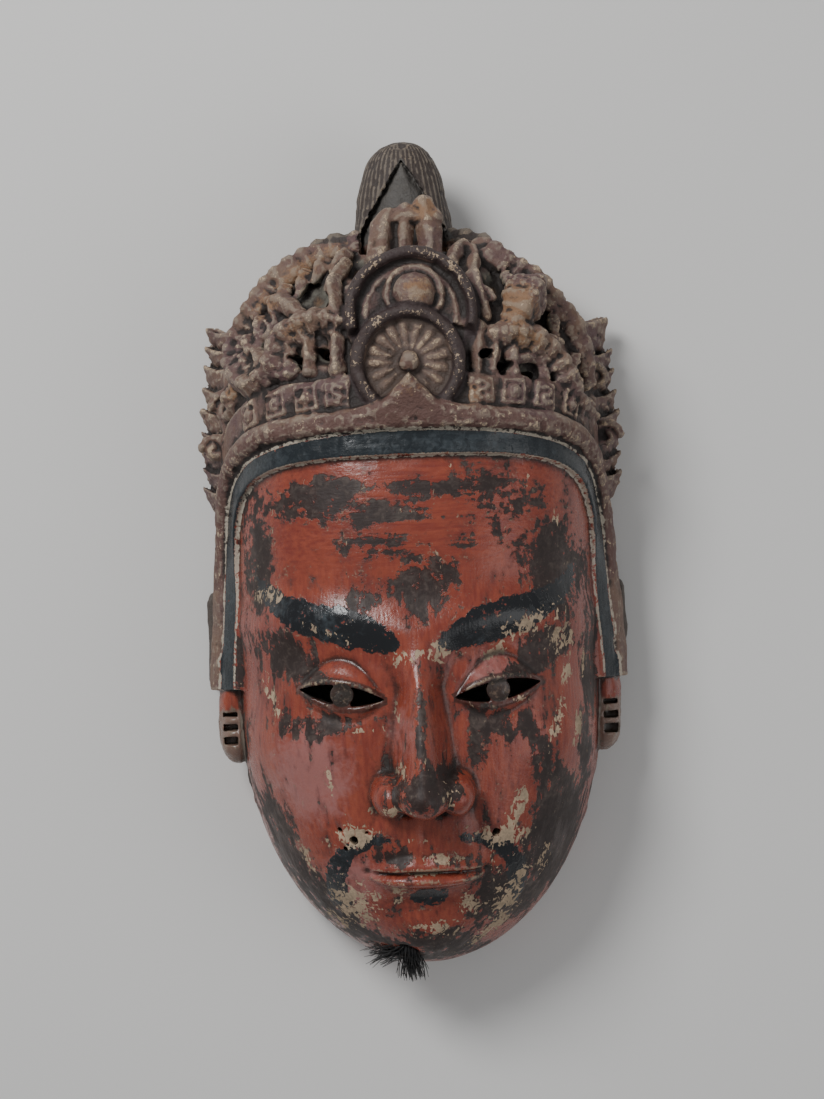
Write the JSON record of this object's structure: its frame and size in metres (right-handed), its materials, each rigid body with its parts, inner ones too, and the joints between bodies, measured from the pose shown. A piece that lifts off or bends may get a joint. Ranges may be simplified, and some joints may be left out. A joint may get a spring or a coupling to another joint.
{
  "type": "nuo mask",
  "caption": "Carved and painted wooden theatre mask with a tall relief crown and topknot, hollow behind, lying face up on its flat back rim.",
  "frame": {"origin": "centre of the overall outline in X and Y, on the flat back rim in Z", "axes": "+Z out of the face towards the viewer, +Y from chin to topknot, +X to the viewer's right"},
  "size_m": [0.186, 0.365, 0.1198],
  "materials": {
    "painted_wood": "old red lacquer over gesso on wood, dark headband and brown crown, flaked and grimy",
    "black_hair": "coarse black horsehair, dull"
  },
  "bodies": {
    "root": {"mask": "painted_wood", "beard_tuft": "black_hair"}
  },
  "joints": []
}
